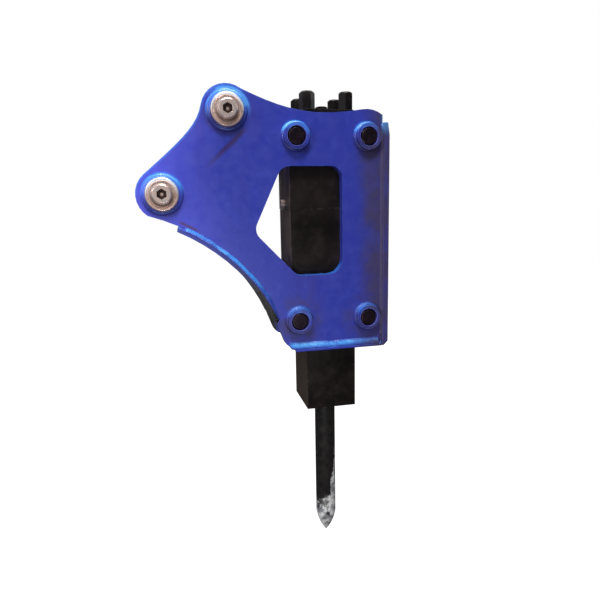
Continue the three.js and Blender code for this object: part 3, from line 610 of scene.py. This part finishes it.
def tool_steel(name):
    """Black mill scale, knocked bright and white towards the point, more on the front side."""
    p = Paint(name)
    ragged = p.wander(1.0, scale=34, detail=6, roughness=0.72)
    height = p.math("ADD", p.axis("Z"), p.product(ragged, 160 * MM))
    point = p.fade(height, -832 * MM, -805 * MM)
    along_x, along_y = WORN_SIDE
    from_axis = p.math("SUBTRACT", p.axis("X"), TOOL_X)
    side = p.math("ADD", p.product(from_axis, along_x), p.product(p.axis("Y"), along_y))
    side = p.math("ADD", side, p.product(ragged, 30 * MM))
    reach = p.span(p.axis("Z"), -820 * MM, -670 * MM, 9 * MM, 23.5 * MM)
    strip = p.span(p.math("SUBTRACT", side, reach), 0, 2 * MM)
    flank = p.product(strip, p.fade(height, -680 * MM, -655 * MM))
    flaked = p.noise(scale=40, detail=5, roughness=0.62, distortion=0.5)
    flakes = p.span(flaked, 0.46, 0.62, 1.0, 0.08)
    bright = p.product(p.highest(point, flank), p.highest(flakes, p.product(flank, 0.85)))
    scale = p.span(p.noise(scale=70, detail=6, roughness=0.7), 0.35, 0.7)
    black = p.mix(scale, TOOL_STEEL["scale"], TOOL_STEEL["worn_scale"])
    knocks = p.span(p.noise(scale=55, detail=4), 0.40, 0.58)
    silver = p.mix(knocks, TOOL_STEEL["silver"], TOOL_STEEL["bright"])
    p.set(base_color=p.mix(bright, black, silver), specular=0.35)
    p.set(metallic=p.product(bright, 0.15))
    p.set(roughness=p.span(bright, 0, 1, 0.52, 0.34))
    dents = p.bump(p.cells(70, p.stretched((1, 1, 0.6))), 0.8 * MM, 0.25)
    p.set(normal=p.bump(p.noise(scale=180, detail=4, roughness=0.6), 0.25 * MM, 0.5, dents))
    return p.material


MATERIALS = {
    "blue_paint": blue_enamel("blue_enamel"),
    "black_paint": black_enamel("black_enamel"),
    "black_oxide": oxide_steel("black_oxide"),
    "zinc_plate": zinc_steel("zinc_plate", turned=False),
    "bare_steel": bare_steel("bare_steel"),
    "tool_steel": tool_steel("tool_steel"),
    "bronze": bare_steel("bronze", BRONZE, (0.3, 0.5)),
    "seal_rubber": seal_rubber("seal_rubber"),
}
WELD = blue_enamel("blue_enamel_on_weld", weld=True)
ZINC_TURNED = zinc_steel("zinc_plate_turned")


# ---------------------------------------------------------------- CAD pieces


BEVELS = {"blue_paint": 2.2 * MM, "black_paint": 1.5 * MM, "black_oxide": 0.7 * MM}
SMALL_BEVEL = 0.5 * MM
NUT_BEVEL = 0.4 * MM
ROUND_ABOVE = 32  # degrees between two faces, as the next three
ROUND_ABOVE_ON_BOLTS = 22
ROUND_ABOVE_ON_WASHERS = 25
FLAT_WITHIN = 0.4
MERGE_WITHIN = 0.01 * MM


def add_rounding(piece, width, degrees):
    rounding = piece.modifiers.new("rounding", "BEVEL")
    rounding.limit_method = "ANGLE"
    rounding.angle_limit = math.radians(degrees)
    rounding.width = width
    rounding.segments = 3
    rounding.harden_normals = True


def finish_cad(node, slot):
    """Gives a CAD piece its material, soft edges and smooth round faces."""
    piece = frame["nodes"][node]
    mesh = piece.data
    if "custom_normal" in mesh.attributes:
        mesh.attributes.remove(mesh.attributes["custom_normal"])
    for face in mesh.polygons:
        face.use_smooth = True
    weld = piece.modifiers.new("weld", "WELD")
    weld.merge_threshold = MERGE_WITHIN
    flat = piece.modifiers.new("flat_faces", "DECIMATE")
    flat.decimate_type = "DISSOLVE"
    flat.angle_limit = math.radians(FLAT_WITHIN)
    is_nut = node.startswith("tie_rod_nut")
    width = NUT_BEVEL if is_nut else BEVELS.get(slot, SMALL_BEVEL)
    add_rounding(piece, width, ROUND_ABOVE_ON_BOLTS if slot == "black_oxide" else ROUND_ABOVE)
    mesh.materials.clear()
    mesh.materials.append(MATERIALS[slot])


for entry in frame["record"]["subparts"]:
    finish_cad(entry["node"], entry["material_slot"])


# ---------------------------------------------------------------- new pieces


def add_piece(name, vertices, faces, material, body, slot, place=(0, 0, 0)):
    mesh = bpy.data.meshes.new(name)
    mesh.from_pydata(vertices, [], faces)
    mesh.validate()
    work = bmesh.new()
    work.from_mesh(mesh)
    bmesh.ops.recalc_face_normals(work, faces=work.faces)
    work.to_mesh(mesh)
    work.free()
    for face in mesh.polygons:
        face.use_smooth = True
    mesh.materials.append(material)
    piece = bpy.data.objects.new(name, mesh)
    bpy.context.scene.collection.objects.link(piece)
    piece.location = place
    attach(piece, body)
    return piece


def swept(rings, closed_path):
    """Vertices and faces of a skin over equal rings of points; an open path gets end caps."""
    size = len(rings[0])
    vertices = [point for ring in rings for point in ring]
    faces = []
    for i in range(len(rings) if closed_path else len(rings) - 1):
        here, there = i * size, (i + 1) % len(rings) * size
        for k in range(size):
            n = (k + 1) % size
            faces.append((here + k, here + n, there + n, there + k))
    if not closed_path:
        faces.append(tuple(range(size)))
        faces.append(tuple(range(len(vertices) - size, len(vertices))))
    return vertices, faces


BEAD_STEP = 1.1 * MM
BEAD_TURNS = 9  # points across a bead's face
BEAD_ROOT = 0.8 * MM  # how far it sinks into both plates
TOE_DEPTH = 0.4 * BEAD_ROOT
END_TAPER = 9 * MM
END_WIDTH = 0.25  # share of the full width
DRIFT_SCALE = 45  # of the slow change in width
DRIFT_LAYER = 3.7  # keeps that noise apart from the roughness
WIDTH_DRIFT = 0.16
ROUGH_SCALE = 260
ROUGH_TURNS = 4
ROUGH_HEIGHT = 0.05
CROWN_HEIGHT = 0.17
LAP_HEIGHT = 0.10
LAP_LEAN = 0.35  # how far the laps curve forward at the middle
LAP_SHAPE = 1.6
RIPPLE = 4.6 * MM
COLLAR_RIPPLE = 4 * MM


def resample(points, step, closed_path):
    """Evenly spaced points along a polyline."""
    points = [Vector(p) for p in points]
    if closed_path:
        points.append(points[0])
    lengths = [0.0]
    for a, b in zip(points, points[1:]):
        lengths.append(lengths[-1] + (b - a).length)
    count = max(4, round(lengths[-1] / step))
    out, j = [], 0
    for i in range(count if closed_path else count + 1):
        s = lengths[-1] * i / count
        while j < len(points) - 2 and lengths[j + 1] < s:
            j += 1
        t = (s - lengths[j]) / max(1e-9, lengths[j + 1] - lengths[j])
        out.append(points[j].lerp(points[j + 1], min(1.0, t)))
    return out


def bead(name, path, along_face, off_face, closed_path=False, ripple=RIPPLE, seed=0):
    """A fillet weld along a path. along_face and off_face give, at a point, the direction and the
    leg's length on each of the two surfaces that it joins."""
    points = resample(path, BEAD_STEP, closed_path)
    count = len(points)
    laps = max(1, round(count * BEAD_STEP / ripple))
    rings = []
    for i, point in enumerate(points):
        u, v = along_face(point), off_face(point)
        u_way, v_way = u.normalized(), v.normalized()
        slow = Vector((point.x * DRIFT_SCALE, point.z * DRIFT_SCALE, seed + DRIFT_LAYER))
        drift = noise.noise(slow)
        from_end = min(i, count - 1 - i) * BEAD_STEP
        ends = 1 if closed_path else min(1, END_WIDTH + from_end / END_TAPER)
        width = (1 + WIDTH_DRIFT * drift) * ends
        ring = [point - u_way * BEAD_ROOT - v_way * BEAD_ROOT]
        for k in range(BEAD_TURNS):
            t = k / (BEAD_TURNS - 1)
            bulge = 4 * t * (1 - t)
            phase = i / count * laps - LAP_LEAN * bulge
            lap = (phase - math.floor(phase)) ** LAP_SHAPE
            grain = Vector((point.x * ROUGH_SCALE, point.z * ROUGH_SCALE, seed + t * ROUGH_TURNS))
            rough = ROUGH_HEIGHT * noise.noise(grain)
            swell = 1 + bulge * (CROWN_HEIGHT + LAP_HEIGHT * lap + rough)
            toe = TOE_DEPTH * (1 - bulge)
            face = (u * (1 - t) + v * t) * width * swell
            ring.append(point + face - (u_way * t + v_way * (1 - t)) * toe)
        rings.append(ring)
    return add_piece(name, *swept(rings, closed_path), WELD, ROOT, "blue_paint")


def constant(x, y, z):
    direction = Vector((x, y, z))
    return lambda point: direction


def from_centre(centre, length):
    """Direction away from a line along Y through the centre (x, z)."""
    def direction(point):
        return Vector((point.x - centre[0], 0, point.z - centre[1])).normalized() * length
    return direction


def on_circle(centre, radius, y, degrees):
    turn = math.radians(degrees)
    return (centre[0] + radius * math.cos(turn), y, centre[1] + radius * math.sin(turn))


def ring_path(centre, radius, y, start=0, end=360, step=3):
    count = max(3, round(abs(end - start) / step))
    turns = [start + (end - start) * i / count for i in range(count + 1)]
    points = [on_circle(centre, radius, y, turn) for turn in turns]
    return points[:-1] if abs(end - start) == 360 else points


# Fillet welds: how far each reaches on the plate along X or Z, and out from the side plate
WEAR_LEGS = (9 * MM, WEAR_LEDGE + 1.8 * MM)
INNER_LEGS = (7 * MM, 7 * MM)
FRONT_LEGS = (6 * MM, 4.5 * MM)
FOOT_LEGS = (16 * MM, 7 * MM)
DOUBLER_LEGS = (6 * MM, 6 * MM)
COLLAR_LEGS = (5.5 * MM, 6.5 * MM)
WEAR_WELD = (63.5, 34)  # degrees round the wear plate's centre, as the next three
WEAR_WELD_TAIL = range(32, 23, -1)
WEAR_INNER_WELD = (64, 18)
LEDGE_END = 33  # where the ledge starts to taper, and how much it loses in a degree
LEDGE_TAPER = 0.95 * MM
FOOT_WELD_Z = FOOT_TOP - 5.5 * MM
FOOT_WELD_BEND = [(272 * MM, 9 * MM), (276 * MM, 2 * MM), (283 * MM, 0)]  # X and rise


def on_rim(degrees, y):
    """A point on the side plate's lower left rim, where the wear plate's ledge tapers away."""
    radius = WEAR_INNER - 1 * MM - (LEDGE_END - degrees) * LEDGE_TAPER
    return on_circle(WEAR_CENTRE, radius, y, degrees)


def add_wear_welds(side, sign, seed):
    outer, inner = sign * PLATE_OUTER, sign * PLATE_INNER
    path = ring_path(WEAR_CENTRE, WEAR_INNER - 3 * MM, outer, *WEAR_WELD)
    path += [on_rim(degrees, outer) for degrees in WEAR_WELD_TAIL]
    bead(f"weld_wear_outer_{side}", path, from_centre(WEAR_CENTRE, WEAR_LEGS[0]),
         constant(0, sign * WEAR_LEGS[1], 0), seed=seed)
    path = ring_path(WEAR_CENTRE, WEAR_INNER, inner, *WEAR_INNER_WELD)
    bead(f"weld_wear_inner_{side}", path, from_centre(WEAR_CENTRE, INNER_LEGS[0]),
         constant(0, -sign * INNER_LEGS[1], 0), seed=seed + 1)


def add_front_welds(side, sign, seed):
    outer, inner, top = sign * PLATE_OUTER, sign * PLATE_INNER, FRONT_TOP - 1 * MM
    path = [(FRONT_FACE, outer, FOOT_TOP + 11 * MM), (FRONT_FACE, outer, top)]
    bead(f"weld_front_outer_{side}", path, constant(-FRONT_LEGS[0], 0, 0),
         constant(0, sign * FRONT_LEGS[1], 0), seed=seed + 2)
    path = [(FRONT_FACE, inner, FOOT_TOP + 4 * MM), (FRONT_FACE, inner, top)]
    bead(f"weld_front_inner_{side}", path, constant(-INNER_LEGS[0], 0, 0),
         constant(0, -sign * INNER_LEGS[1], 0), seed=seed + 3)


def add_foot_weld(side, sign, seed):
    outer = sign * PLATE_OUTER
    path = [(x, outer, FOOT_WELD_Z + rise) for x, rise in FOOT_WELD_BEND]
    path.append((FRONT_FACE - 1 * MM, outer, FOOT_WELD_Z))
    bead(f"weld_foot_outer_{side}", path, constant(0, 0, FOOT_LEGS[0]),
         constant(0, sign * FOOT_LEGS[1], 0), seed=seed + 4)


def add_ring_welds(side, sign, seed):
    """Round the pins' doublers and the side bolts' collars."""
    outer = sign * PLATE_OUTER
    for name, centre in PINS.items():
        path = ring_path(centre, DOUBLER_RADIUS, outer)
        bead(f"weld_doubler_{name}_{side}", path, from_centre(centre, DOUBLER_LEGS[0]),
             constant(0, sign * DOUBLER_LEGS[1], 0), closed_path=True, seed=seed + 5)
    for name, centre in BOLTS.items():
        path = ring_path(centre, COLLAR_RADIUS, outer)
        bead(f"weld_collar_{name}_{side}", path, from_centre(centre, COLLAR_LEGS[0]),
             constant(0, sign * COLLAR_LEGS[1], 0), closed_path=True,
             ripple=COLLAR_RIPPLE, seed=seed + 6)


WASHER_SIDES = 96


def add_washer(pin, side, sign):
    """A washer with a grooved outer face and a worn rim, in place of the plain CAD ring."""
    node = f"{pin}_pin_washer_{side}"
    low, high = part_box(node)
    x, z = PINS[pin]
    seat = low.y if sign > 0 else high.y
    rings = []
    for step in range(WASHER_SIDES):
        turn = 2 * math.pi * step / WASHER_SIDES
        x_way, z_way = math.cos(turn), math.sin(turn)
        rings.append([(r * x_way, h * sign, r * z_way) for r, h in WASHER_PROFILE])
    piece = add_piece(f"washer_{pin}_{side}", *swept(rings, True), ZINC_TURNED, ROOT,
                      "zinc_plate", (x, seat, z))
    add_rounding(piece, SMALL_BEVEL, ROUND_ABOVE_ON_WASHERS)
    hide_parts(node)


for plate_side, outward in SIDES.items():
    first_seed = 10 if outward > 0 else 0
    add_wear_welds(plate_side, outward, first_seed)
    add_front_welds(plate_side, outward, first_seed)
    add_foot_weld(plate_side, outward, first_seed)
    add_ring_welds(plate_side, outward, first_seed)
for pin_name in PINS:
    for plate_side, outward in SIDES.items():
        add_washer(pin_name, plate_side, outward)


# ---------------------------------------------------------------- camera, floor and light


FLOOR_HALF = 40.0
FLOOR_GAP = 1.5 * MM
FLOOR_GREYS = ((0.30, 0.30, 0.30), (0.34, 0.34, 0.34))
FLOOR_GLOW = 0.98
COOL = (0.93, 0.95, 1.0)
WHITE = (1, 1, 1)
# name: place, the point it is aimed at, size, watts, colour
LAMPS = {
    "key": ((-0.1, -1.5, 2.1), (0.2, 0, -0.05), 0.9, 54, WHITE),
    "left_fill": ((-1.9, -1.6, 0.7), (0.1, 0, 0.05), 1.2, 12, COOL),
    "left_near": ((-0.5, -0.65, 0.35), (0.05, 0, 0), 0.35, 2.2, COOL),
    "top": ((0.5, 0.2, 2.3), (0.3, 0, 0), (1.2, 1.0), 40, WHITE),
    "back": ((-0.6, 2.2, 1.5), (0.25, 0, -0.1), 1.2, 22, WHITE),
    "right": ((2.3, 0.6, 0.8), (0.3, 0, -0.1), 1.2, 8, WHITE),
    "low": ((0.0, -1.0, -0.5), (TOOL_X, 0, -0.88), 0.3, 5, WHITE),
}
SKY_ON_OBJECT = 0.09
SKY_SEEN = 1.0


def add_camera():
    forward = Vector((
        math.sin(CAMERA_YAW) * math.cos(CAMERA_PITCH),
        math.cos(CAMERA_YAW) * math.cos(CAMERA_PITCH),
        -math.sin(CAMERA_PITCH),
    ))
    level = Vector((math.cos(CAMERA_YAW), -math.sin(CAMERA_YAW), 0))
    upright = level.cross(forward)
    right = math.cos(CAMERA_ROLL) * level + math.sin(CAMERA_ROLL) * upright
    up = math.cos(CAMERA_ROLL) * upright - math.sin(CAMERA_ROLL) * level
    data = bpy.data.cameras.new("camera")
    data.lens = LENS_MM
    data.sensor_width = SENSOR_MM
    camera = bpy.data.objects.new("camera", data)
    bpy.context.scene.collection.objects.link(camera)
    turn = Matrix((right, up, -forward)).transposed()
    camera.matrix_world = Matrix.Translation(CAMERA_PLACE) @ turn.to_4x4()
    bpy.context.scene.camera = camera


def add_floor():
    """A wide pale floor just below the tool's point."""
    level = CAD_BOX[0].z - FLOOR_GAP
    mesh = bpy.data.meshes.new("floor")
    signs = ((-1, -1), (1, -1), (1, 1), (-1, 1))
    corners = [(x * FLOOR_HALF, y * FLOOR_HALF, level) for x, y in signs]
    mesh.from_pydata(corners, [], [(0, 1, 2, 3)])
    p = Paint("pale_floor")
    p.set(base_color=p.mix(p.noise(scale=3, detail=2), *FLOOR_GREYS), roughness=0.9)
    p.set(emission_color=(*WHITE, 1), emission_strength=FLOOR_GLOW)
    mesh.materials.append(p.material)
    floor = bpy.data.objects.new("floor", mesh)
    floor.visible_diffuse = False
    floor.visible_glossy = False
    bpy.context.scene.collection.objects.link(floor)
    floor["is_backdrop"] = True


def add_lamp(name, place, target, size, power, color):
    data = bpy.data.lights.new(name, "AREA")
    data.shape = "RECTANGLE"
    data.size, data.size_y = size if isinstance(size, tuple) else (size, size)
    data.energy = power
    data.color = color
    lamp = bpy.data.objects.new(name, data)
    lamp.visible_camera = False
    bpy.context.scene.collection.objects.link(lamp)
    lamp.location = place
    aim = Vector(target) - Vector(place)
    lamp.rotation_euler = aim.to_track_quat("-Z", "Y").to_euler()


def add_sky():
    """A white world that is bright where it is seen and dim where it lights the object."""
    world = bpy.data.worlds.new("studio")
    bpy.context.scene.world = world
    world.use_nodes = True
    tree = world.node_tree
    background = tree.nodes["Background"]
    background.inputs["Color"].default_value = (*WHITE, 1)
    rays = tree.nodes.new("ShaderNodeLightPath")
    strength = tree.nodes.new("ShaderNodeMix")
    strength.inputs["A"].default_value = SKY_ON_OBJECT
    strength.inputs["B"].default_value = SKY_SEEN
    tree.links.new(rays.outputs["Is Camera Ray"], strength.inputs["Factor"])
    tree.links.new(strength.outputs["Result"], background.inputs["Strength"])


add_camera()
add_floor()
for lamp_name, lamp_settings in LAMPS.items():
    add_lamp(lamp_name, *lamp_settings)
add_sky()
bpy.context.scene.view_settings.view_transform = "Standard"

boxes = {"cad": CAD_BOX, "visual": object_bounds()}
{key: [list(corner) for corner in box] for key, box in boxes.items()}
